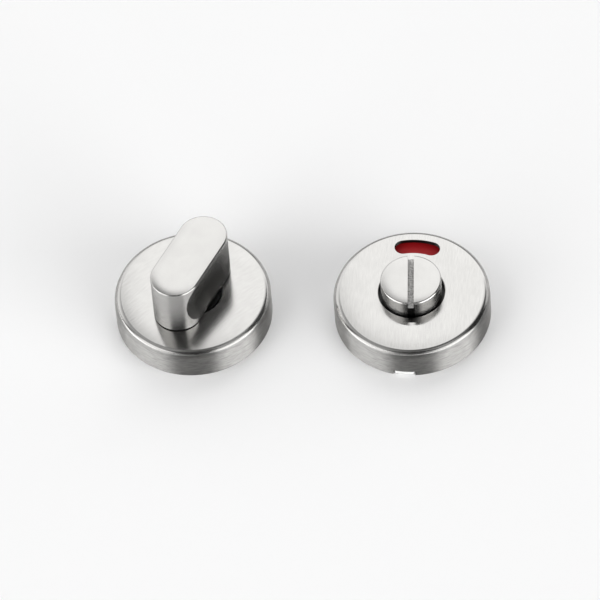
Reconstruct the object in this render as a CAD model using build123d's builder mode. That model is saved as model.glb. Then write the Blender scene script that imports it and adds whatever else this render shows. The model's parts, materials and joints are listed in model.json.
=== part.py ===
from build123d import *
import math
import os

os.makedirs("parts", exist_ok=True)

# The two halves lie on their backs side by side, the release half's window towards +Y
HALF_SPACING_X = 72.5
HALF_SPACING_Y = 5.6

# Rose covers, drawn from sheet, with a face that is flat inside and falls to a rounded rim
ROSE_RADIUS = 26.0
RIM_HEIGHT = 10.85
FACE_RISE = 0.85
FACE_FLAT_RADIUS = 13.0
SHEET = 1.5
RIM_EDGE_RADIUS = 2.5
RIM_INSIDE_RADIUS = 1.0
HOLE_EDGE_RADIUS = 0.3
TURN_HOLE_RADIUS = 9.95
SNAP_GROOVE_DEPTH = 0.4
SNAP_GROOVE_WIDTH = 1.8

# Pry notch in each rim, with a key of the plate standing in it
NOTCH_WIDTH = 7.3
NOTCH_HEIGHT = 1.9
NOTCH_KEY_GAP = 0.45
NOTCH_KEY_ROOF = 0.2
TURN_NOTCH_ANGLE = 90.0
RELEASE_NOTCH_ANGLE = -90.0

# Window of the release cover
WINDOW_RADIUS = 18.65
WINDOW_WIDTH = 5.8
WINDOW_HALF_ANGLE = 14.6

# Thumbturn knob: an oblong grip with a crowned top and a scooped flank on each side
KNOB_ANGLE = 68.1
GRIP_CENTRES = 18.9
GRIP_WIDTH = 16.3
GRIP_HEIGHT = 19.25
GRIP_LIFT = 0.45
GRIP_CROWN_WIDTH = 4.0
GRIP_CROWN_DROP = 0.35
GRIP_TOP_EDGE = 0.5
GRIP_FOOT_EDGE = 0.3
SCOOP_DEPTH = 1.6
SCOOP_TOP_LAND = 1.2
SCOOP_FOOT_LAND = 2.0
NECK_CLEARANCE = 0.55
NECK_SINK = 0.3
WAIST_INSET = 0.5

# Knob fixing: hub stem in a blind bore, held by a grub screw
STEM_RADIUS = 4.0
STEM_LENGTH = 15.0
STEM_FLAT = 3.2
STEM_FIT = 0.05
STEM_END_GAP = 0.3
HUB_FLANGE_RADIUS = 9.0
HUB_FLANGE_THICKNESS = 1.9
GRUB_RADIUS = 2.0
GRUB_FIT = 0.05
GRUB_LENGTH = 3.0
GRUB_LEVEL = 5.0
GRUB_HEX = 2.0
GRUB_HEX_DEPTH = 1.6

# Release button with a crowned top and a coin slot
SLOT_ANGLE = 95.8
BUTTON_RADIUS = 10.1
BUTTON_CLEARANCE = 0.9
BUTTON_RISE = 6.6
BUTTON_CROWN_WIDTH = 4.0
BUTTON_CROWN_DROP = 0.35
BUTTON_EDGE_RADIUS = 0.6
BUTTON_FOOT_EDGE = 0.3
COIN_SLOT_WIDTH = 2.0
COIN_SLOT_DEPTH = 2.6

# Indicator disc with its red field
DISC_EDGE_GAP = 1.1
DISC_THICKNESS = 1.0
DISC_HEADROOM = 0.5
RED_FILM = 0.15
RED_WINDOW_MARGIN = 0.75
RED_EDGE_MARGIN = 0.5
RED_SPAN = 90.0

# Journal shared by both rotors, with a square socket for the spindle
JOURNAL_RADIUS = 6.0
JOURNAL_FLAT = 5.2
KEY_FIT = 0.05
RUN_FIT = 0.05
RUN_GAP = 0.1
HUB_END = 0.2
SPINDLE = 6.0
SPINDLE_FIT = 0.05
SOCKET_ROOF = 1.0

# Flanged bush in the plate
BUSH_WALL = 1.2
BUSH_FIT = 0.02
BUSH_FLANGE_RADIUS = 9.5
BUSH_FLANGE_THICKNESS = 0.8

# Retaining stack behind the plate
CLIP_INSET = 0.3
CLIP_THICKNESS = 0.8
CLIP_GROOVE_DEPTH = 0.5
CLIP_PLAY = 0.03
CLIP_BAND = 2.4
CLIP_GAP = 3.0
CLIP_EAR_RADIUS = 1.4
CLIP_EAR_HOLE = 0.6
CLIP_EAR_ANGLE = 21.0
STOP_THICKNESS = 0.8
STOP_RADIUS = 10.0
STOP_LUG_RADIUS = 12.0
STOP_LUG_ANGLE = 20.0
SPRING_ROOM = 1.1
SPRING_THICKNESS = 0.4
SPRING_EDGE_GAP = 0.9
SPRING_BORE_GAP = 0.4

# Fixing plate
PLATE_THICKNESS = 3.0
PLATE_CLEARANCE = 0.25
RECESS_CLEARANCE = 0.5
BOSS_WALL = 2.0
RIM_WALL = 1.3
RIM_WALL_GAP = 1.2
TONGUE_ANGLES = (45, 135, 225, 315)
TONGUE_SPAN = 26.0
TONGUE_SLIT = 1.2
BEAD_HEIGHT = 1.2
BEAD_CLEARANCE = 0.15
BEAD_BELOW_TOP = 1.2
FIXING_SPACING = 38.0
BOLT_HOLE_RADIUS = 2.2
SCREW_HOLE_RADIUS = 1.8
SCREW_HEAD_RADIUS = 3.5
STOP_TRAVEL = 90.0
STOP_CLEARANCE_ANGLE = 1.0
STOP_MIDDLE_ANGLE = 180.0
KNOB_MIDDLE_ANGLE = 45.0
SLOT_MIDDLE_ANGLE = 135.0

# Sizes and levels that follow
UP = (0, 0, 1)
TURN = Vector(-HALF_SPACING_X / 2, -HALF_SPACING_Y / 2, 0)
RELEASE = Vector(HALF_SPACING_X / 2, HALF_SPACING_Y / 2, 0)
INNER_RADIUS = ROSE_RADIUS - SHEET
DISC_RADIUS = INNER_RADIUS - DISC_EDGE_GAP
FACE_TOP = RIM_HEIGHT + FACE_RISE
FACE_BEND_RADIUS = ((ROSE_RADIUS - FACE_FLAT_RADIUS) ** 2 + FACE_RISE**2) / (2 * FACE_RISE)


def underside(radius):
    """Height of a cover's inner face at a radius beyond its flat."""
    bend = math.sqrt((FACE_BEND_RADIUS - SHEET) ** 2 - (radius - FACE_FLAT_RADIUS) ** 2)
    return FACE_TOP - FACE_BEND_RADIUS + bend


RED_TOP = underside(DISC_RADIUS) - DISC_HEADROOM
DISC_TOP = RED_TOP - RED_FILM
DISC_BOTTOM = DISC_TOP - DISC_THICKNESS
BUSH_TOP = DISC_BOTTOM - RUN_GAP
BOSS_TOP = BUSH_TOP - BUSH_FLANGE_THICKNESS
BUSH_RADIUS = JOURNAL_RADIUS + RUN_FIT + BUSH_WALL
CLIP_BOTTOM = HUB_END + CLIP_INSET
STOP_BOTTOM = CLIP_BOTTOM + CLIP_THICKNESS
STOP_TOP = STOP_BOTTOM + STOP_THICKNESS
RECESS_DEPTH = STOP_TOP + SPRING_ROOM
RECESS_RADIUS = STOP_RADIUS + RECESS_CLEARANCE
SPRING_RADIUS = RECESS_RADIUS - SPRING_EDGE_GAP
POCKET_RADIUS = STOP_LUG_RADIUS + RECESS_CLEARANCE
BOSS_RADIUS = POCKET_RADIUS + BOSS_WALL
PLATE_RADIUS = INNER_RADIUS - PLATE_CLEARANCE
RIM_WALL_TOP = DISC_BOTTOM - RIM_WALL_GAP
SNAP_LEVEL = RIM_WALL_TOP - BEAD_BELOW_TOP
HUB_FLANGE_BOTTOM = DISC_BOTTOM
HUB_FLANGE_TOP = HUB_FLANGE_BOTTOM + HUB_FLANGE_THICKNESS
SOCKET_TOP = HUB_FLANGE_TOP - SOCKET_ROOF
RELEASE_HOLE_RADIUS = BUTTON_RADIUS + BUTTON_CLEARANCE
RED_INNER_RADIUS = WINDOW_RADIUS - WINDOW_WIDTH / 2 - RED_WINDOW_MARGIN
NECK_RADIUS = TURN_HOLE_RADIUS - NECK_CLEARANCE
NECK_TOP = FACE_TOP - NECK_SINK
GRIP_BOTTOM = FACE_TOP + GRIP_LIFT
GRIP_TOP = GRIP_BOTTOM + GRIP_HEIGHT
BUTTON_TOP = FACE_TOP + BUTTON_RISE


def level(half, height, angle=0.0):
    """Horizontal plane over a half's centre, its x axis turned by an angle."""
    return Plane(half + Vector(0, 0, height), Vector(1, 0, 0).rotate(Axis.Z, angle), UP)


def upright(half, angle=0.0):
    """Vertical plane through a half's axis: x outwards at an angle, y upwards."""
    outward = Vector(1, 0, 0).rotate(Axis.Z, angle)
    return Plane(half, outward, outward.cross(Vector(UP)))


def spin_axis(half):
    """The axis that a half's rotor turns about."""
    return Axis(half, UP)


def sector(radius, middle, span):
    """Pie-shaped face about the origin."""
    start = middle - span / 2
    reach = [(radius * math.cos(math.radians(a)), radius * math.sin(math.radians(a)))
             for a in (start, middle, middle + span / 2)]
    with BuildSketch() as pie:
        with BuildLine():
            Line((0, 0), reach[0])
            ThreePointArc(*reach)
            Line(reach[2], (0, 0))
        make_face()
    return pie.sketch


def rose_cover(half, hole_radius, notch_angle):
    """Drawn cup with a centre hole, a snap groove inside its wall and a pry notch."""
    with BuildPart() as cover:
        with BuildSketch(upright(half)) as section:
            with BuildLine():
                face_line = Line((hole_radius, FACE_TOP), (FACE_FLAT_RADIUS, FACE_TOP))
                rim_point = (ROSE_RADIUS, RIM_HEIGHT)
                TangentArc(face_line @ 1, rim_point, tangent=(1, 0))
                Polyline(
                    rim_point,
                    (ROSE_RADIUS, 0),
                    (INNER_RADIUS, 0),
                    (INNER_RADIUS, underside(INNER_RADIUS)),
                )
                under_line = Line((FACE_FLAT_RADIUS, FACE_TOP - SHEET), (hole_radius, FACE_TOP - SHEET))
                TangentArc(under_line @ 0, (INNER_RADIUS, underside(INNER_RADIUS)), tangent=(1, 0))
                Line(under_line @ 1, face_line @ 0)
            make_face()
            inside_corner = section.vertices().filter_by_position(Axis.X, INNER_RADIUS, INNER_RADIUS)
            fillet(inside_corner.sort_by(Axis.Y)[-1], RIM_INSIDE_RADIUS)
            fillet(section.vertices().group_by(Axis.X)[-1].sort_by(Axis.Y)[-1], RIM_EDGE_RADIUS)
            fillet(section.vertices().group_by(Axis.X)[0].sort_by(Axis.Y)[-1], HOLE_EDGE_RADIUS)
            with Locations((INNER_RADIUS, SNAP_LEVEL)):
                Rectangle(2 * SNAP_GROOVE_DEPTH, SNAP_GROOVE_WIDTH, mode=Mode.SUBTRACT)
        revolve(axis=spin_axis(half))
        with BuildSketch(level(half, 0, notch_angle)):
            with Locations((ROSE_RADIUS, 0)):
                Rectangle(ROSE_RADIUS, NOTCH_WIDTH)
        extrude(amount=NOTCH_HEIGHT, mode=Mode.SUBTRACT)
    return cover


def fixing_plate(half, notch_angle):
    """Round plate with a bearing boss, snap tongues, fixing holes and a stop pocket behind."""
    recess_sector = sector(POCKET_RADIUS, STOP_MIDDLE_ANGLE,
                           STOP_TRAVEL + STOP_LUG_ANGLE + 2 * STOP_CLEARANCE_ANGLE)
    wall_inside = PLATE_RADIUS - RIM_WALL
    bead_radius = INNER_RADIUS + SNAP_GROOVE_DEPTH - BEAD_CLEARANCE
    with BuildPart() as plate:
        with BuildSketch(level(half, 0)):
            Circle(PLATE_RADIUS)
        extrude(amount=PLATE_THICKNESS)
        with BuildSketch(level(half, 0)):
            Circle(BOSS_RADIUS)
        extrude(amount=BOSS_TOP)
        with BuildSketch(level(half, PLATE_THICKNESS)):
            Circle(PLATE_RADIUS)
            Circle(wall_inside, mode=Mode.SUBTRACT)
        extrude(amount=RIM_WALL_TOP - PLATE_THICKNESS)
        with BuildSketch(level(half, 0, notch_angle)):
            with Locations((PLATE_RADIUS, 0)):
                Rectangle(PLATE_RADIUS - BOSS_RADIUS, NOTCH_WIDTH - 2 * NOTCH_KEY_GAP)
            Circle(ROSE_RADIUS - NOTCH_KEY_GAP, mode=Mode.INTERSECT)
        extrude(amount=NOTCH_HEIGHT - NOTCH_KEY_ROOF)
        for angle in TONGUE_ANGLES:
            with BuildSketch(upright(half, angle - TONGUE_SPAN / 4)):
                with BuildLine():
                    Polyline(
                        (wall_inside, SNAP_LEVEL - BEAD_HEIGHT / 2),
                        (PLATE_RADIUS, SNAP_LEVEL - BEAD_HEIGHT / 2),
                        (bead_radius, SNAP_LEVEL),
                        (PLATE_RADIUS, SNAP_LEVEL + BEAD_HEIGHT / 2),
                        (wall_inside, SNAP_LEVEL + BEAD_HEIGHT / 2),
                        close=True,
                    )
                make_face()
            revolve(axis=spin_axis(half), revolution_arc=TONGUE_SPAN / 2)
            for side in (-1, 1):
                with BuildSketch(level(half, PLATE_THICKNESS, angle + side * TONGUE_SPAN / 2)):
                    with Locations((PLATE_RADIUS, 0)):
                        Rectangle(4 * RIM_WALL, TONGUE_SLIT)
                extrude(amount=RIM_WALL_TOP, mode=Mode.SUBTRACT)
        with BuildSketch(level(half, 0)):
            Circle(RECESS_RADIUS)
            add(recess_sector)
        extrude(amount=RECESS_DEPTH, mode=Mode.SUBTRACT)
        with BuildSketch(level(half, 0)):
            Circle(BUSH_RADIUS + BUSH_FIT)
        extrude(amount=BOSS_TOP, mode=Mode.SUBTRACT)
        with BuildSketch(level(half, 0)):
            with Locations((-FIXING_SPACING / 2, 0), (FIXING_SPACING / 2, 0)):
                Circle(BOLT_HOLE_RADIUS)
        extrude(amount=PLATE_THICKNESS, mode=Mode.SUBTRACT)
        with Locations(level(half, PLATE_THICKNESS)):
            with Locations((0, -FIXING_SPACING / 2), (0, FIXING_SPACING / 2)):
                CounterSinkHole(SCREW_HOLE_RADIUS, SCREW_HEAD_RADIUS)
    return plate


def flanged_bush(half):
    """Bearing bush pressed into the boss from the front."""
    bore = JOURNAL_RADIUS + RUN_FIT
    with BuildPart() as bush:
        with BuildSketch(upright(half)):
            with BuildLine():
                Polyline(
                    (bore, RECESS_DEPTH),
                    (BUSH_RADIUS, RECESS_DEPTH),
                    (BUSH_RADIUS, BOSS_TOP),
                    (BUSH_FLANGE_RADIUS, BOSS_TOP),
                    (BUSH_FLANGE_RADIUS, BUSH_TOP),
                    (bore, BUSH_TOP),
                    close=True,
                )
            make_face()
        revolve(axis=spin_axis(half))
    return bush


def curved_washer(half):
    """Spring washer, a flat ring bowed about one diameter."""
    low = STOP_TOP + RUN_GAP
    crown = RECESS_DEPTH - RUN_GAP / 2
    with BuildPart() as washer:
        with BuildSketch(upright(half)):
            with BuildLine():
                edge = crown - SPRING_THICKNESS
                ThreePointArc((-SPRING_RADIUS, low), (0, edge), (SPRING_RADIUS, low))
                Line((SPRING_RADIUS, low), (SPRING_RADIUS, low + SPRING_THICKNESS))
                ThreePointArc(
                    (SPRING_RADIUS, low + SPRING_THICKNESS),
                    (0, crown),
                    (-SPRING_RADIUS, low + SPRING_THICKNESS),
                )
                Line((-SPRING_RADIUS, low + SPRING_THICKNESS), (-SPRING_RADIUS, low))
            make_face()
        extrude(amount=SPRING_RADIUS, both=True)
        with BuildSketch(level(half, 0)):
            Circle(SPRING_RADIUS)
            Circle(JOURNAL_RADIUS + SPRING_BORE_GAP, mode=Mode.SUBTRACT)
        extrude(amount=RECESS_DEPTH, mode=Mode.INTERSECT)
    return washer


def stop_washer(half, angle, middle_angle):
    """Washer keyed to the journal's flats, with a lug that meets the pocket's ends."""
    lug = sector(STOP_LUG_RADIUS, STOP_MIDDLE_ANGLE - middle_angle, STOP_LUG_ANGLE)
    with BuildPart() as washer:
        with BuildSketch(level(half, STOP_BOTTOM, angle)):
            Circle(STOP_RADIUS)
            add(lug)
        extrude(amount=STOP_THICKNESS)
        with BuildSketch(level(half, STOP_BOTTOM, angle)):
            Circle(JOURNAL_RADIUS + KEY_FIT)
            Rectangle(3 * JOURNAL_RADIUS, 2 * (JOURNAL_FLAT + KEY_FIT), mode=Mode.INTERSECT)
        extrude(amount=STOP_THICKNESS, mode=Mode.SUBTRACT)
    return washer


def circlip(half, angle):
    """Open retaining ring with a pair of plier ears."""
    inside = JOURNAL_RADIUS - CLIP_GROOVE_DEPTH + CLIP_PLAY
    outside = inside + CLIP_BAND
    with BuildPart() as clip:
        with BuildSketch(level(half, CLIP_BOTTOM, angle)):
            Circle(outside)
            with PolarLocations(outside, 2, -CLIP_EAR_ANGLE, 2 * CLIP_EAR_ANGLE, endpoint=True):
                Circle(CLIP_EAR_RADIUS)
            Circle(inside, mode=Mode.SUBTRACT)
            with PolarLocations(outside, 2, -CLIP_EAR_ANGLE, 2 * CLIP_EAR_ANGLE, endpoint=True):
                Circle(CLIP_EAR_HOLE, mode=Mode.SUBTRACT)
            with Locations((outside, 0)):
                Rectangle(2 * outside, CLIP_GAP, mode=Mode.SUBTRACT)
        extrude(amount=CLIP_THICKNESS)
    return clip


def journal_cuts(half, angle):
    """What is cut from each rotor's journal: spindle socket, clip groove and key flats."""
    width = SPINDLE + 2 * SPINDLE_FIT
    with BuildPart() as cuts:
        with BuildSketch(level(half, HUB_END, angle)):
            Rectangle(width, width)
        extrude(amount=SOCKET_TOP - HUB_END)
        with BuildSketch(level(half, CLIP_BOTTOM - CLIP_PLAY)):
            Circle(2 * JOURNAL_RADIUS)
            Circle(JOURNAL_RADIUS - CLIP_GROOVE_DEPTH, mode=Mode.SUBTRACT)
        extrude(amount=CLIP_THICKNESS + 2 * CLIP_PLAY)
        with BuildSketch(level(half, HUB_END, angle)):
            Rectangle(4 * JOURNAL_RADIUS, 4 * JOURNAL_RADIUS)
            Rectangle(4 * JOURNAL_RADIUS, 2 * JOURNAL_FLAT, mode=Mode.SUBTRACT)
        extrude(amount=STOP_TOP - HUB_END)
    return cuts


def crowned_section(reach, bottom, top, crown_width, crown_drop, top_edge, foot_edge):
    """Half section of a head that is flat on top and falls gently to a rounded edge."""
    with BuildSketch() as section:
        with BuildLine():
            crown = Line((0, top), (reach - crown_width, top))
            TangentArc(crown @ 1, (reach, top - crown_drop), tangent=(1, 0))
            Polyline((reach, top - crown_drop), (reach, bottom), (0, bottom), (0, top))
        make_face()
        fillet(section.vertices().group_by(Axis.X)[-1].sort_by(Axis.Y)[-1], top_edge)
        fillet(section.vertices().sort_by(Axis.Y)[:2].sort_by(Axis.X)[-1], foot_edge)
    return section.sketch


def save(piece, name):
    """Name a finished piece and write it."""
    piece.part.label = name
    export_step(piece.part, "parts/" + name + ".step")


# Thumbturn knob
grip_end = GRIP_WIDTH / 2
lateral = Vector(0, 1, 0).rotate(Axis.Z, KNOB_ANGLE)
along = Vector(1, 0, 0).rotate(Axis.Z, KNOB_ANGLE)
scoop_top = GRIP_TOP - SCOOP_TOP_LAND
scoop_bottom = GRIP_BOTTOM + SCOOP_FOOT_LAND
grub_height = GRIP_BOTTOM + GRUB_LEVEL
grip_half = crowned_section(grip_end, GRIP_BOTTOM, GRIP_TOP, GRIP_CROWN_WIDTH, GRIP_CROWN_DROP,
                            GRIP_TOP_EDGE, GRIP_FOOT_EDGE)
with BuildPart() as thumbturn_knob:
    for side in (-1, 1):
        end_centre = TURN + along * (side * GRIP_CENTRES / 2)
        with BuildSketch(upright(end_centre, KNOB_ANGLE)):
            add(grip_half)
        revolve(axis=Axis(end_centre, UP))
        with BuildSketch(upright(TURN, KNOB_ANGLE + side * 90)):
            add(grip_half)
        extrude(amount=GRIP_CENTRES / 2, both=True)
    for side in (-1, 1):
        with BuildSketch(Plane(TURN, lateral, along)):
            with BuildLine():
                ThreePointArc(
                    (side * grip_end, scoop_top),
                    (side * (grip_end - SCOOP_DEPTH), (scoop_top + scoop_bottom) / 2),
                    (side * grip_end, scoop_bottom),
                )
                Line((side * grip_end, scoop_bottom), (side * grip_end, scoop_top))
            make_face()
        extrude(amount=GRIP_CENTRES, both=True, mode=Mode.SUBTRACT)
    with BuildSketch(level(TURN, HUB_FLANGE_TOP)):
        Circle(NECK_RADIUS)
    extrude(amount=NECK_TOP - HUB_FLANGE_TOP)
    with BuildSketch(level(TURN, NECK_TOP)):
        Circle(grip_end - WAIST_INSET)
    extrude(amount=GRIP_BOTTOM - NECK_TOP)
    with BuildSketch(level(TURN, HUB_FLANGE_TOP)):
        Circle(STEM_RADIUS + STEM_FIT)
    extrude(amount=STEM_LENGTH + STEM_END_GAP, mode=Mode.SUBTRACT)
    with BuildSketch(Plane(TURN + Vector(0, 0, grub_height), along, lateral)):
        Circle(GRUB_RADIUS)
    extrude(amount=GRIP_WIDTH, mode=Mode.SUBTRACT)
save(thumbturn_knob, "thumbturn_knob")

# Grub screw in the knob's flank, its tip on the stem's flat
with BuildPart() as turn_grub_screw:
    tip = TURN + Vector(0, 0, grub_height) + lateral * STEM_FLAT
    with BuildSketch(Plane(tip, along, lateral)):
        Circle(GRUB_RADIUS - GRUB_FIT)
    extrude(amount=GRUB_LENGTH)
    with BuildSketch(Plane(tip + lateral * GRUB_LENGTH, along, lateral)):
        RegularPolygon(GRUB_HEX / 2, 6, major_radius=False)
    extrude(amount=-GRUB_HEX_DEPTH, mode=Mode.SUBTRACT)
save(turn_grub_screw, "turn_grub_screw")

# Hub that carries the knob: journal, flange and stem
turn_cuts = journal_cuts(TURN, KNOB_ANGLE)
with BuildPart() as turn_spindle_hub:
    with BuildSketch(upright(TURN)):
        with BuildLine():
            Polyline(
                (0, HUB_END),
                (JOURNAL_RADIUS, HUB_END),
                (JOURNAL_RADIUS, HUB_FLANGE_BOTTOM),
                (HUB_FLANGE_RADIUS, HUB_FLANGE_BOTTOM),
                (HUB_FLANGE_RADIUS, HUB_FLANGE_TOP),
                (STEM_RADIUS, HUB_FLANGE_TOP),
                (STEM_RADIUS, HUB_FLANGE_TOP + STEM_LENGTH),
                (0, HUB_FLANGE_TOP + STEM_LENGTH),
                close=True,
            )
        make_face()
    revolve(axis=spin_axis(TURN))
    add(turn_cuts.part, mode=Mode.SUBTRACT)
    with BuildSketch(Plane(TURN + lateral * STEM_FLAT, -along, lateral)):
        with Locations((0, grub_height)):
            Rectangle(4 * STEM_RADIUS, 4 * GRUB_RADIUS)
    extrude(amount=STEM_RADIUS, mode=Mode.SUBTRACT)
save(turn_spindle_hub, "turn_spindle_hub")

# Release button: slotted head and journal in one turned piece
release_cuts = journal_cuts(RELEASE, SLOT_ANGLE)
button_half = crowned_section(BUTTON_RADIUS, DISC_TOP, BUTTON_TOP, BUTTON_CROWN_WIDTH, BUTTON_CROWN_DROP,
                              BUTTON_EDGE_RADIUS, BUTTON_FOOT_EDGE)
with BuildPart() as release_button:
    with BuildSketch(upright(RELEASE)):
        add(button_half)
    revolve(axis=spin_axis(RELEASE))
    with BuildSketch(level(RELEASE, HUB_END)):
        Circle(JOURNAL_RADIUS)
    extrude(amount=DISC_TOP - HUB_END)
    add(release_cuts.part, mode=Mode.SUBTRACT)
    with BuildSketch(level(RELEASE, DISC_BOTTOM, SLOT_ANGLE)):
        Circle(BUTTON_RADIUS)
        Rectangle(2 * BUTTON_RADIUS, 2 * JOURNAL_FLAT, mode=Mode.SUBTRACT)
    extrude(amount=DISC_THICKNESS, mode=Mode.SUBTRACT)
    with BuildSketch(level(RELEASE, BUTTON_TOP, SLOT_ANGLE)):
        Rectangle(3 * BUTTON_RADIUS, COIN_SLOT_WIDTH)
    extrude(amount=-COIN_SLOT_DEPTH, mode=Mode.SUBTRACT)
save(release_button, "release_button")

# Indicator disc, keyed to the button's flats
with BuildPart() as indicator_disc:
    with BuildSketch(level(RELEASE, DISC_BOTTOM, SLOT_ANGLE)):
        Circle(DISC_RADIUS)
    extrude(amount=DISC_THICKNESS)
    with BuildSketch(level(RELEASE, DISC_BOTTOM, SLOT_ANGLE)):
        Circle(JOURNAL_RADIUS + KEY_FIT)
        Rectangle(3 * JOURNAL_RADIUS, 2 * (JOURNAL_FLAT + KEY_FIT), mode=Mode.INTERSECT)
    extrude(amount=DISC_THICKNESS, mode=Mode.SUBTRACT)
save(indicator_disc, "indicator_disc")

# Red field on the disc, under the window while the slot stands upright
red_sector = sector(DISC_RADIUS - RED_EDGE_MARGIN, 0, RED_SPAN)
with BuildPart() as indicator_red_field:
    with BuildSketch(level(RELEASE, DISC_TOP, SLOT_ANGLE)):
        add(red_sector)
        Circle(RED_INNER_RADIUS, mode=Mode.SUBTRACT)
    extrude(amount=RED_FILM)
save(indicator_red_field, "indicator_red_field")

# Covers
turn_rose_cover = rose_cover(TURN, TURN_HOLE_RADIUS, TURN_NOTCH_ANGLE)
save(turn_rose_cover, "turn_rose_cover")

plain_release_cover = rose_cover(RELEASE, RELEASE_HOLE_RADIUS, RELEASE_NOTCH_ANGLE)
with BuildPart() as release_rose_cover:
    add(plain_release_cover.part)
    with BuildSketch(level(RELEASE, 0)):
        with BuildLine() as window_line:
            CenterArc((0, 0), WINDOW_RADIUS, 90 - WINDOW_HALF_ANGLE, 2 * WINDOW_HALF_ANGLE)
        SlotArc(window_line.wires()[0], WINDOW_WIDTH)
    extrude(amount=2 * RIM_HEIGHT, mode=Mode.SUBTRACT)
save(release_rose_cover, "release_rose_cover")

# Plates, bearings and retaining stacks, the same in both halves
for half, angle, middle_angle, notch_angle, prefix in (
    (TURN, KNOB_ANGLE, KNOB_MIDDLE_ANGLE, TURN_NOTCH_ANGLE, "turn"),
    (RELEASE, SLOT_ANGLE, SLOT_MIDDLE_ANGLE, RELEASE_NOTCH_ANGLE, "release"),
):
    save(fixing_plate(half, notch_angle), prefix + "_fixing_plate")
    save(flanged_bush(half), prefix + "_bush")
    save(curved_washer(half), prefix + "_spring_washer")
    save(stop_washer(half, angle, middle_angle), prefix + "_stop_washer")
    save(circlip(half, angle), prefix + "_circlip")
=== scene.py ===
import json
import math

import bpy
from mathutils import Matrix, Vector

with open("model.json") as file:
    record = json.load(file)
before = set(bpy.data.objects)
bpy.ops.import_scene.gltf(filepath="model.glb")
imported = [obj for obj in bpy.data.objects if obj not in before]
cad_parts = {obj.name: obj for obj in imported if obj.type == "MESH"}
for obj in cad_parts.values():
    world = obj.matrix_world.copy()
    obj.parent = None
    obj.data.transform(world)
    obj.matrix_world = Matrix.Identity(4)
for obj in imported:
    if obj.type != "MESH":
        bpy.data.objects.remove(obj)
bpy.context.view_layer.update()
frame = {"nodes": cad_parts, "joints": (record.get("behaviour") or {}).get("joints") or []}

# Camera fitted to the photograph: degrees, metres, and lens in millimetres
CAMERA_AZIMUTH = 10.5
CAMERA_ELEVATION = 53.07
CAMERA_ROLL = -4.91
CAMERA_DISTANCE = 2.5
CAMERA_REACH = 25.0
CAMERA_LENS = 451.35

# Place of the set's origin in the picture, right of and above the middle, metres
ORIGIN_RIGHT = 0.001207
ORIGIN_UP = -0.004037

# Axes of the two halves, metres
AXES = {joint["name"]: tuple(joint["pos_m"][:2]) for joint in frame["joints"]}
TURN_AXIS = AXES["thumbturn_turn"]
RELEASE_AXIS = AXES["release_turn"]

# Brushing directions, degrees from +X
TURN_FACE_BRUSH = 47.0
RELEASE_FACE_BRUSH = 91.0
KNOB_BRUSH = 68.1
BUTTON_BRUSH = 95.8

# Brush marks, metres
FACE_MARK_LENGTH = 0.004
FACE_MARK_WIDTH = 0.00025
WALL_MARK_LENGTH = 0.003
WALL_MARK_WIDTH = 0.00045

# Noises: brush marks in units of their own size, fine grain, and soft clouds on steel and on plastic
MARK_NOISE = {"Scale": 1.0, "Detail": 3.0, "Roughness": 0.6}
GRAIN_NOISE = {"Scale": 2500.0, "Detail": 2.0}
STEEL_CLOUDS = {"Scale": 130.0}
PLASTIC_CLOUDS = {"Scale": 120.0}

# Values of the noises between which a look goes from one end to the other
NOISE_RANGE = (0.3, 0.7)

# Steels: shade and roughness of flat faces and of walls, upward normals between which one turns into the
# other, depth of the brush marks on both, and anisotropy
OUTER_STEEL = dict(bend=(0.5, 0.8), anisotropy=1.0)
ROSE_STEEL = dict(OUTER_STEEL, face_shade=0.45, wall_shade=0.38, face_roughness=0.13, wall_roughness=0.52,
                  face_marks=0.05, wall_marks=0.22)
KNOB_STEEL = dict(OUTER_STEEL, face_shade=0.46, wall_shade=0.45, face_roughness=0.16, wall_roughness=0.26,
                  face_marks=0.015, wall_marks=0.03)
BUTTON_STEEL = dict(OUTER_STEEL, face_shade=0.46, wall_shade=0.5, face_roughness=0.16, wall_roughness=0.2,
                    face_marks=0.015, wall_marks=0.02)
INNER_STEEL = dict(bend=(0.1, 0.4), face_marks=0.05, wall_marks=0.05)
HUB_STEEL = dict(INNER_STEEL, face_shade=0.55, wall_shade=0.5, face_roughness=0.3, wall_roughness=0.3,
                 anisotropy=0.4)
SPRING_STEEL = dict(INNER_STEEL, face_shade=0.5, wall_shade=0.5, face_roughness=0.3, wall_roughness=0.3,
                    anisotropy=0.4)
DARK_STEEL = dict(INNER_STEEL, face_shade=0.12, wall_shade=0.12, face_roughness=0.35, wall_roughness=0.35,
                  anisotropy=0.2)

# All steels: red, green and blue against the shade, tones of the clouds, and what the marks do to the
# roughness and the relief
STEEL_TINT = (1.0, 0.987, 0.962)
STEEL_CLOUD_TONES = (0.98, 1.02)
MARK_ROUGHNESS = 0.25
MARK_RELIEF = {"Strength": 0.3, "Distance": 0.00002}

# Painted shade: shade of steel in corners that are dark in the photograph, against open steel
PAINTED_CORNER_SHADE = 0.15

# Openings in the rose faces lie inside this radius, metres; their walls get painted shade
OPENINGS_RADIUS = 0.0235

# Knob: level where its foot ends, below which the steel gets painted shade, roughness of the polished
# flanks and scoops, and where these end along the knob, metres
FOOT_LEVEL = 0.0122
FLANK_ROUGHNESS = 0.2
FLANK_END = (0.008, 0.0105)

# Coin slot in the button: a level between its floor and the button's top, and a reach from its middle
# that takes in its sides, metres. The sides get painted shade. The floor is milled, with its own grain,
# tones and roughness.
SLOT_LEVEL = 0.017
SLOT_REACH = 0.0012
SLOT_GRAIN_RANGE = (0.35, 0.65)
SLOT_TONES = (0.45, 1.1)
SLOT_ROUGHNESS = 0.35

# Plastics. The indicator disc is black inside a radius, metres: painted shade in the dark gap round the
# button.
PLATE_PLASTIC = dict(colour=(0.82, 0.82, 0.81), roughness=0.45)
BUSH_PLASTIC = dict(colour=(0.85, 0.85, 0.82), roughness=0.4)
DISC_PLASTIC = dict(colour=(0.88, 0.88, 0.87), roughness=0.4, painted_shade_radius=0.0145)
FIELD_PLASTIC = dict(colour=(0.42, 0.009, 0.013), roughness=0.5, shine=0.2)
PAINTED_SHADE_BLACK = (0.01, 0.01, 0.01, 1.0)

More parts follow.
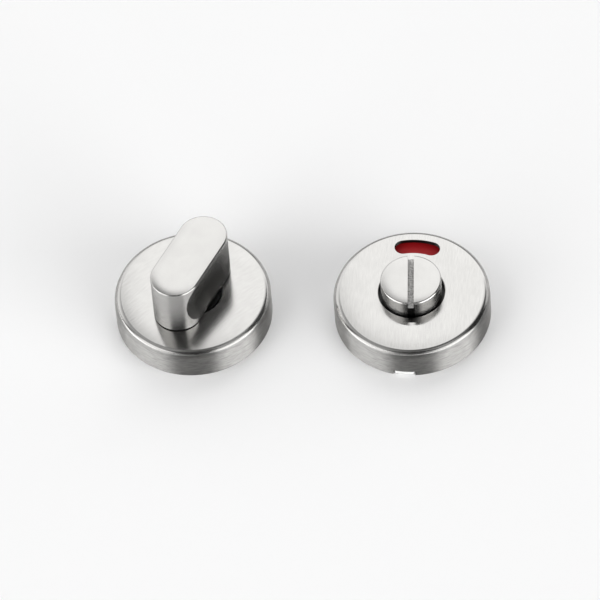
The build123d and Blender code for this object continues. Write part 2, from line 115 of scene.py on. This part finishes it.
# All plastics: tones of the clouds, and what the grain does to the roughness and the relief
PLASTIC_TONES = (0.92, 1.06)
GRAIN_ROUGHNESS = 0.05
GRAIN_RELIEF = {"Strength": 0.2, "Distance": 0.00003}

# Studio lamps: radiance, span in degrees to the right of the camera, rise above the floor in degrees, and
# softness of the edges in degrees. The back lamp's span is counted from behind the set.
BACK_LAMP = dict(radiance=2.3, span=(-19, 43), rise=(18, 70), edge=11)
RIGHT_LAMP = dict(radiance=8.4, span=(24, 78), rise=(-30, 21), edge=6)
LEFT_LAMP = dict(radiance=5.8, span=(-100, -35), rise=(-30, 21), edge=6)
HIGH_RIGHT_LAMP = dict(radiance=2.3, span=(24, 76), rise=(21, 53), edge=6)
HIGH_LEFT_LAMP = dict(radiance=2.3, span=(-90, -35), rise=(21, 53), edge=6)
LEFT_FILL = dict(radiance=1.8, span=(-160, -108), rise=(6, 46), edge=9)
RIGHT_FILL = dict(radiance=1.3, span=(110, 146), rise=(4, 27), edge=6)
TOP_LEFT_FILL = dict(radiance=0.7, span=(-150, -50), rise=(50, 80), edge=6)
TOP_RIGHT_FILL = dict(radiance=0.8, span=(40, 106), rise=(60, 80), edge=5)
ZENITH_FILL = dict(radiance=0.2, span=(-200, 200), rise=(82, 120), edge=4)
GAP_LIGHT = 0.05

# Floor: size and drop under the set in metres, shade, and glow to the eye
FLOOR_SIZE = 6.0
FLOOR_DROP = 0.0001
FLOOR_SHADE = 0.9
FLOOR_GLOW = 0.04

# Sockets of a Mix node for each kind of data: first, second and result
MIX_SOCKETS = {"FLOAT": (2, 3, 0), "VECTOR": (4, 5, 1), "RGBA": (6, 7, 2)}


def add_node(tree, kind, inputs=None, **attributes):
    """Add a shader node, set its attributes, and set or link its inputs."""
    made = tree.nodes.new(kind)
    for name, value in attributes.items():
        setattr(made, name, value)
    for name, value in (inputs or {}).items():
        if isinstance(value, bpy.types.NodeSocket):
            tree.links.new(value, made.inputs[name])
        else:
            made.inputs[name].default_value = value
    return made


def math_node(tree, operation, first, second=0.0):
    """Output of a Math node on two values or sockets."""
    return add_node(tree, "ShaderNodeMath", {0: first, 1: second}, operation=operation).outputs[0]


def vector_node(tree, operation, first, second=(0.0, 0.0, 0.0)):
    """Outputs of a Vector Math node on two vectors or sockets."""
    return add_node(tree, "ShaderNodeVectorMath", {0: first, 1: second}, operation=operation).outputs


def separate(tree, vector):
    """Outputs X, Y and Z of a vector."""
    return add_node(tree, "ShaderNodeSeparateXYZ", {0: vector}).outputs


def turn(tree, vector, degrees):
    """Vector turned about the Z axis."""
    inputs = {"Vector": vector, "Angle": math.radians(degrees)}
    return add_node(tree, "ShaderNodeVectorRotate", inputs, rotation_type="Z_AXIS").outputs[0]


def ramp(tree, value, low, high, to_low=0.0, to_high=1.0):
    """Smooth step of a socket from one value to another."""
    limits = {"Value": value, "From Min": low, "From Max": high, "To Min": to_low, "To Max": to_high}
    return add_node(tree, "ShaderNodeMapRange", limits, interpolation_type="SMOOTHSTEP").outputs[0]


def blend(tree, factor, first, second, kind="FLOAT"):
    """Value, vector or colour that goes from the first to the second with a factor."""
    first_socket, second_socket, result = MIX_SOCKETS[kind]
    inputs = {"Factor": factor, first_socket: first, second_socket: second}
    return add_node(tree, "ShaderNodeMix", inputs, data_type=kind).outputs[result]


def noise(tree, point, settings):
    """Noise at a point, about 0 to 1."""
    return add_node(tree, "ShaderNodeTexNoise", {"Vector": point, **settings}).outputs["Fac"]


def new_material(name):
    """Empty node material and its tree."""
    material = bpy.data.materials.new(name)
    material.use_nodes = True
    material.node_tree.nodes.clear()
    return material, material.node_tree


def finish_material(tree, shader):
    """Link a shader to the material's output."""
    output = add_node(tree, "ShaderNodeOutputMaterial")
    tree.links.new(shader.outputs[0], output.inputs["Surface"])


def object_point(tree):
    """Point of the surface in the set's own frame."""
    return add_node(tree, "ShaderNodeTexCoord").outputs["Object"]


def point_from_axis(tree, axis):
    """Point of the surface, counted from an upright axis."""
    return vector_node(tree, "SUBTRACT", object_point(tree), (*axis, 0.0))[0]


def inside_radius(tree, point, radius):
    """1 where a point is nearer to the Z axis than a radius, and 0 outside."""
    flat = vector_node(tree, "MULTIPLY", point, (1.0, 1.0, 0.0))[0]
    return math_node(tree, "LESS_THAN", vector_node(tree, "LENGTH", flat)["Value"], radius)


def brush_marks(tree, centred, turned, is_face, face_marks, wall_marks):
    """Fine marks along the brushing on faces and round the axis on walls, to both sides of 0."""
    along, across = 1 / FACE_MARK_LENGTH, 1 / FACE_MARK_WIDTH
    on_face = noise(tree, vector_node(tree, "MULTIPLY", turned, (along, across, along))[0], MARK_NOISE)
    along, across = 1 / WALL_MARK_LENGTH, 1 / WALL_MARK_WIDTH
    on_wall = noise(tree, vector_node(tree, "MULTIPLY", centred, (along, along, across))[0], MARK_NOISE)
    marks = ramp(tree, blend(tree, is_face, on_wall, on_face), *NOISE_RANGE, -1.0, 1.0)
    return math_node(tree, "MULTIPLY", marks, blend(tree, is_face, wall_marks, face_marks))


def brush_tangent(tree, face_angle, is_face):
    """Tangent across the brushing on faces and upright on walls."""
    across = math.radians(face_angle + 90)
    straight = add_node(tree, "ShaderNodeVectorTransform",
                        {"Vector": (math.cos(across), math.sin(across), 0.0)},
                        vector_type="VECTOR", convert_from="OBJECT", convert_to="WORLD")
    return blend(tree, is_face, (0.0, 0.0, 1.0), straight.outputs[0], "VECTOR")


def paint_shade(tree, shade, is_painted_dark):
    """Painted shade: shade that drops to that of dark corners where a factor is 1."""
    return math_node(tree, "MULTIPLY", shade, blend(tree, is_painted_dark, 1.0, PAINTED_CORNER_SHADE))


def shade_and_mill_slot(tree, shade, roughness, centred, off_middle, is_face, is_wall):
    """Shade and roughness with painted shade on the coin slot's sides and a grainy milled floor."""
    near_middle = math_node(tree, "LESS_THAN", math_node(tree, "ABSOLUTE", off_middle), SLOT_REACH)
    shade = paint_shade(tree, shade, math_node(tree, "MULTIPLY", near_middle, is_wall))
    is_low = math_node(tree, "LESS_THAN", separate(tree, centred)["Z"], SLOT_LEVEL)
    is_floor = math_node(tree, "MULTIPLY", is_low, is_face)
    milled = ramp(tree, noise(tree, centred, GRAIN_NOISE), *SLOT_GRAIN_RANGE, *SLOT_TONES)
    shade = math_node(tree, "MULTIPLY", shade, blend(tree, is_floor, 1.0, milled))
    return shade, blend(tree, is_floor, roughness, SLOT_ROUGHNESS)


def brushed_steel(name, axis, face_angle, face_shade, wall_shade, face_roughness, wall_roughness, bend,
                  face_marks, wall_marks, anisotropy, shaded_openings=False, knob=False, slot=False):
    """Satin steel: flat faces brushed one way, walls brushed round the axis."""
    material, tree = new_material(name)
    centred = point_from_axis(tree, axis)
    turned = turn(tree, centred, -face_angle)
    on_brush = separate(tree, turned)
    normal = add_node(tree, "ShaderNodeNewGeometry").outputs["Normal"]
    is_face = ramp(tree, math_node(tree, "ABSOLUTE", separate(tree, normal)["Z"]), *bend)
    is_wall = math_node(tree, "SUBTRACT", 1.0, is_face)
    marks = brush_marks(tree, centred, turned, is_face, face_marks, wall_marks)

    if knob:
        along_knob = math_node(tree, "ABSOLUTE", on_brush["X"])
        wall_roughness = ramp(tree, along_knob, *FLANK_END, FLANK_ROUGHNESS, wall_roughness)
    roughness = blend(tree, is_face, wall_roughness, face_roughness)
    roughness = math_node(tree, "ADD", roughness, math_node(tree, "MULTIPLY", marks, MARK_ROUGHNESS))

    shade = blend(tree, is_face, wall_shade, face_shade)
    shade = math_node(tree, "MULTIPLY", shade, math_node(tree, "ADD", marks, 1.0))
    clouds = ramp(tree, noise(tree, centred, STEEL_CLOUDS), *NOISE_RANGE, *STEEL_CLOUD_TONES)
    shade = math_node(tree, "MULTIPLY", shade, clouds)
    # Painted shade on the walls of the openings in the rose faces
    if shaded_openings:
        inside = inside_radius(tree, centred, OPENINGS_RADIUS)
        shade = paint_shade(tree, shade, math_node(tree, "MULTIPLY", inside, is_wall))
    # Painted shade on the knob's foot, below the foot level; polished flanks and scoops
    if knob:
        shade = paint_shade(tree, shade, math_node(tree, "LESS_THAN", separate(tree, centred)["Z"], FOOT_LEVEL))
    # Painted shade on the coin slot's sides, and its milled floor
    if slot:
        shade, roughness = shade_and_mill_slot(tree, shade, roughness, centred, on_brush["Y"], is_face, is_wall)

    tinted = {i: math_node(tree, "MULTIPLY", shade, tint) for i, tint in enumerate(STEEL_TINT)}
    shader = add_node(tree, "ShaderNodeBsdfPrincipled", {
        "Base Color": add_node(tree, "ShaderNodeCombineColor", tinted).outputs[0],
        "Metallic": 1.0,
        "Roughness": roughness,
        "Anisotropic": anisotropy,
        "Tangent": brush_tangent(tree, face_angle, is_face),
        "Normal": add_node(tree, "ShaderNodeBump", {**MARK_RELIEF, "Height": marks}).outputs[0],
    })
    finish_material(tree, shader)
    return material


def moulded_plastic(name, colour, roughness, shine=0.5, painted_shade_radius=None):
    """Moulded plastic with a fine even grain, black inside a radius on the release half as painted shade.
    """
    material, tree = new_material(name)
    grain = noise(tree, object_point(tree), GRAIN_NOISE)
    clouds = noise(tree, object_point(tree), PLASTIC_CLOUDS)
    dark, light = ([part * tone for part in colour] + [1.0] for tone in PLASTIC_TONES)
    tint = blend(tree, clouds, dark, light, "RGBA")
    if painted_shade_radius:
        inside = inside_radius(tree, point_from_axis(tree, RELEASE_AXIS), painted_shade_radius)
        tint = blend(tree, inside, tint, PAINTED_SHADE_BLACK, "RGBA")
    spread = (roughness - GRAIN_ROUGHNESS, roughness + GRAIN_ROUGHNESS)
    shader = add_node(tree, "ShaderNodeBsdfPrincipled", {
        "Base Color": tint,
        "Specular IOR Level": shine,
        "Roughness": ramp(tree, grain, *NOISE_RANGE, *spread),
        "Normal": add_node(tree, "ShaderNodeBump", {**GRAIN_RELIEF, "Height": grain}).outputs[0],
    })
    finish_material(tree, shader)
    return material


def floor_paper():
    """White paper that glows faintly to the eye and is clear from below."""
    material, tree = new_material("floor_paper")
    paper = add_node(tree, "ShaderNodeBsdfDiffuse", {"Color": (FLOOR_SHADE, FLOOR_SHADE, FLOOR_SHADE, 1)})
    path = add_node(tree, "ShaderNodeLightPath").outputs
    seen = math_node(tree, "MAXIMUM", path["Is Camera Ray"], path["Is Glossy Ray"])
    seen = math_node(tree, "MAXIMUM", seen, path["Is Transmission Ray"])
    glow = add_node(tree, "ShaderNodeEmission", {"Strength": math_node(tree, "MULTIPLY", seen, FLOOR_GLOW)})
    above = add_node(tree, "ShaderNodeAddShader", {0: paper.outputs[0], 1: glow.outputs[0]})
    below = add_node(tree, "ShaderNodeBsdfTransparent")
    from_below = add_node(tree, "ShaderNodeNewGeometry").outputs["Backfacing"]
    sides = {0: from_below, 1: above.outputs[0], 2: below.outputs[0]}
    finish_material(tree, add_node(tree, "ShaderNodeMixShader", sides))
    return material


def dress(material, *nodes):
    """Give CAD nodes a material."""
    for name in nodes:
        mesh = frame["nodes"][name].data
        mesh.materials.clear()
        mesh.materials.append(material)


def place_camera():
    """Long lens above the front of the set, rolled as the photograph is."""
    azimuth, elevation = math.radians(CAMERA_AZIMUTH), math.radians(CAMERA_ELEVATION)
    back = Vector((math.sin(azimuth) * math.cos(elevation), -math.cos(azimuth) * math.cos(elevation),
                   math.sin(elevation)))
    right = Vector((0, 0, 1)).cross(back).normalized()
    up = back.cross(right)
    roll = math.radians(CAMERA_ROLL)
    rolled_right = math.cos(roll) * right + math.sin(roll) * up
    rolled_up = math.cos(roll) * up - math.sin(roll) * right
    camera = bpy.data.cameras.new("camera")
    camera.lens = CAMERA_LENS
    camera.clip_end = CAMERA_REACH
    holder = bpy.data.objects.new("camera", camera)
    bpy.context.scene.collection.objects.link(holder)
    holder.matrix_world = Matrix((rolled_right, rolled_up, back)).transposed().to_4x4()
    holder.location = back * CAMERA_DISTANCE - rolled_right * ORIGIN_RIGHT - rolled_up * ORIGIN_UP
    bpy.context.scene.camera = holder


def lay_floor():
    """Plain white floor just under the set, which shows the set's shadow."""
    half = FLOOR_SIZE / 2
    corners = [(-half, -half, 0), (half, -half, 0), (half, half, 0), (-half, half, 0)]
    mesh = bpy.data.meshes.new("floor")
    mesh.from_pydata(corners, [], [(0, 1, 2, 3)])
    mesh.materials.append(floor_paper())
    floor = bpy.data.objects.new("floor", mesh)
    floor.location.z = -FLOOR_DROP
    bpy.context.scene.collection.objects.link(floor)


def between(tree, value, low, high, edge):
    """1 while a socket is between two values, with soft edges, and 0 outside."""
    rise = ramp(tree, value, low - edge, low + edge)
    return math_node(tree, "MULTIPLY", rise, ramp(tree, value, high + edge, high - edge))


def light_studio():
    """Lamps on both sides, behind and above, with dark gaps between them."""
    world = bpy.data.worlds.new("studio")
    bpy.context.scene.world = world
    world.use_nodes = True
    tree = world.node_tree
    tree.nodes.clear()
    direction = add_node(tree, "ShaderNodeTexCoord").outputs["Generated"]
    parts = separate(tree, turn(tree, direction, -CAMERA_AZIMUTH))
    forward = math_node(tree, "MULTIPLY", parts["Y"], -1.0)
    side = math_node(tree, "DEGREES", math_node(tree, "ARCTAN2", parts["X"], forward))
    behind = math_node(tree, "DEGREES", math_node(tree, "ARCTAN2", parts["X"], parts["Y"]))
    height = math_node(tree, "DEGREES", math_node(tree, "ARCSINE", parts["Z"]))

    def lit(lamp, angle):
        """Radiance of one lamp in each direction."""
        box = math_node(tree, "MULTIPLY", between(tree, angle, *lamp["span"], lamp["edge"]),
                        between(tree, height, *lamp["rise"], lamp["edge"]))
        return math_node(tree, "MULTIPLY", box, lamp["radiance"])

    strength = math_node(tree, "ADD", lit(BACK_LAMP, behind), GAP_LIGHT)
    for lamp in (RIGHT_LAMP, LEFT_LAMP, HIGH_RIGHT_LAMP, HIGH_LEFT_LAMP, RIGHT_FILL, LEFT_FILL,
                 TOP_RIGHT_FILL, TOP_LEFT_FILL, ZENITH_FILL):
        strength = math_node(tree, "ADD", strength, lit(lamp, side))
    background = add_node(tree, "ShaderNodeBackground", {"Strength": strength})
    output = add_node(tree, "ShaderNodeOutputWorld")
    tree.links.new(background.outputs[0], output.inputs[0])


dress(brushed_steel("turn_rose_steel", TURN_AXIS, TURN_FACE_BRUSH, **ROSE_STEEL, shaded_openings=True),
      "turn_rose_cover")
dress(brushed_steel("release_rose_steel", RELEASE_AXIS, RELEASE_FACE_BRUSH, **ROSE_STEEL, shaded_openings=True),
      "release_rose_cover")
dress(brushed_steel("knob_steel", TURN_AXIS, KNOB_BRUSH, **KNOB_STEEL, knob=True),
      "thumbturn_knob")
dress(brushed_steel("button_steel", RELEASE_AXIS, BUTTON_BRUSH, **BUTTON_STEEL, slot=True),
      "release_button")
dress(brushed_steel("hub_steel", TURN_AXIS, KNOB_BRUSH, **HUB_STEEL),
      "turn_spindle_hub")
dress(brushed_steel("spring_steel", TURN_AXIS, KNOB_BRUSH, **SPRING_STEEL),
      "turn_spring_washer", "turn_stop_washer", "release_spring_washer", "release_stop_washer")
dress(brushed_steel("dark_steel", TURN_AXIS, KNOB_BRUSH, **DARK_STEEL),
      "turn_grub_screw", "turn_circlip", "release_circlip")
dress(moulded_plastic("plate_grey", **PLATE_PLASTIC), "turn_fixing_plate", "release_fixing_plate")
dress(moulded_plastic("bush_white", **BUSH_PLASTIC), "turn_bush", "release_bush")
dress(moulded_plastic("disc_white", **DISC_PLASTIC), "indicator_disc")
dress(moulded_plastic("indicator_red", **FIELD_PLASTIC), "indicator_red_field")

place_camera()
lay_floor()
light_studio()
bpy.context.scene.view_settings.view_transform = "Standard"
